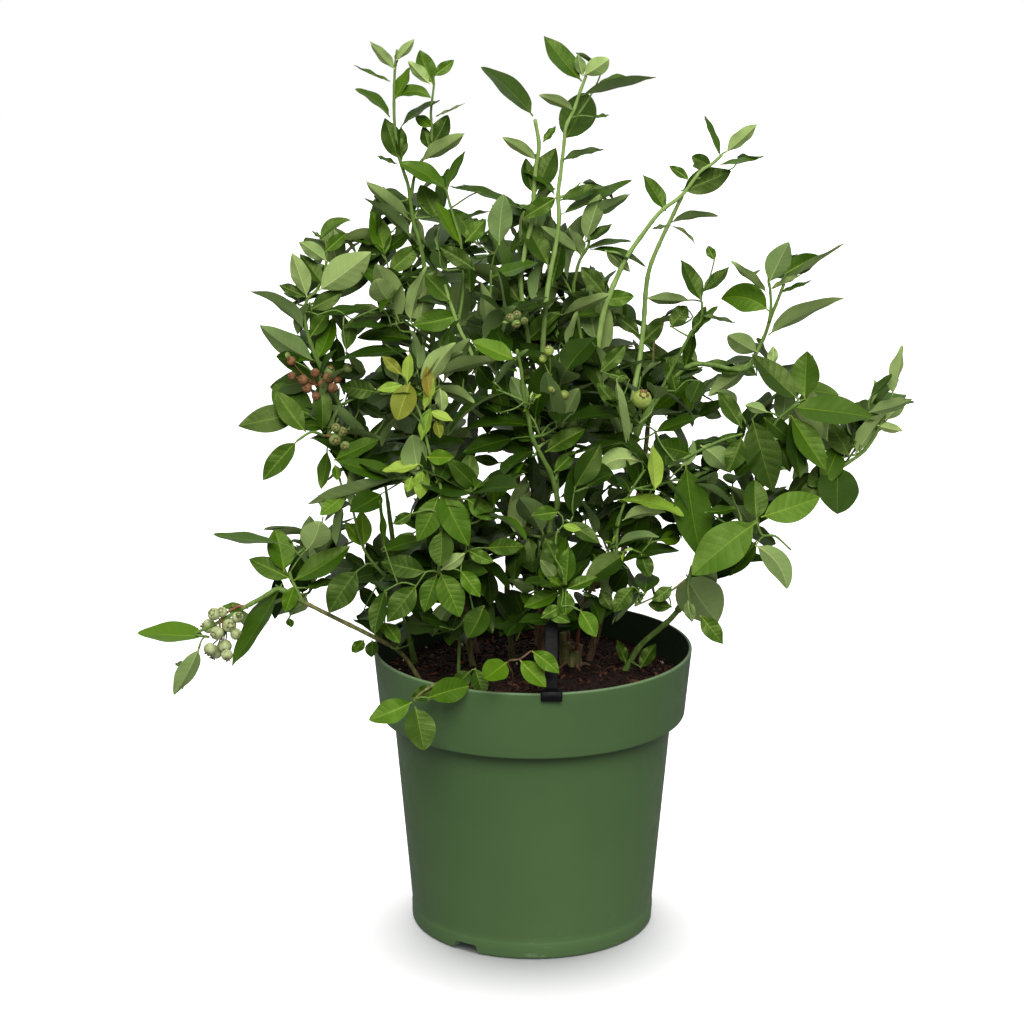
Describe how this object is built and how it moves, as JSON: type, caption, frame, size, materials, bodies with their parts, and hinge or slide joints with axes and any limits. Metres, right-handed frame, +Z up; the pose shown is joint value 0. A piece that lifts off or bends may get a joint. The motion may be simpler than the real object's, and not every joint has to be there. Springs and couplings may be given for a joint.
{
  "type": "blueberry bush in a pot",
  "caption": "Young blueberry bush with upright and arching leafy shoots rising from a clump of canes, in a round tapered nursery pot with a deep rim band.",
  "frame": {"origin": "centre of the flat underside of the pot", "axes": "+Z up, the plant's own upright axis; the label clip on the rim faces -Y, and the long low shoot reaches out along -X"},
  "size_m": [0.5334, 0.3383, 0.6279],
  "materials": {
    "pot_plastic": "satin moulded plastic, moss green",
    "clip_plastic": "black moulded plastic",
    "potting_mix": "moist bark and peat mix with pale grit",
    "bark": "dull brown bark with fine fissures",
    "green_shoots": "smooth green shoots",
    "leaves": "waxy green leaves, paler beneath"
  },
  "bodies": {
    "root": {"bough_arm_right": "green_shoots", "bough_drape_front": "green_shoots", "bough_low_left": "green_shoots", "bough_shoulder_right": "green_shoots", "bough_spire_back": "green_shoots", "bough_spire_left": "green_shoots", "bough_spire_right": "green_shoots", "bough_spire_right_inner": "green_shoots", "cane_back": "bark", "cane_back_left": "bark", "cane_back_right": "bark", "cane_centre": "bark", "cane_centre_front": "bark", "cane_centre_left": "bark", "cane_inner_left": "bark", "cane_inner_right": "bark", "cane_left": "bark", "cane_left_arm": "bark", "cane_right": "bark", "foliage_arm_right": "leaves", "foliage_arm_right_tip": "leaves", "foliage_back_left": "leaves", "foliage_back_right": "leaves", "foliage_crown_front_left": "leaves", "foliage_crown_front_right": "leaves", "foliage_crown_upper_left": "leaves", "foliage_crown_upper_right": "leaves", "foliage_drape_front": "leaves", "foliage_heart": "leaves", "foliage_low_front": "leaves", "foliage_low_left": "leaves", "foliage_low_left_tip": "leaves", "foliage_low_left_whorl": "leaves", "foliage_low_right": "leaves", "foliage_shoulder_back_left": "leaves", "foliage_shoulder_back_right": "leaves", "foliage_shoulder_left": "leaves", "foliage_shoulder_right": "leaves", "foliage_side_left": "leaves", "foliage_spire_back": "leaves", "foliage_spire_centre": "leaves", "foliage_spire_left": "leaves", "foliage_spire_right": "leaves", "label_clip": "clip_plastic", "pot": "pot_plastic", "potting_mix": "potting_mix", "woody_crown": "bark"}
  },
  "joints": []
}
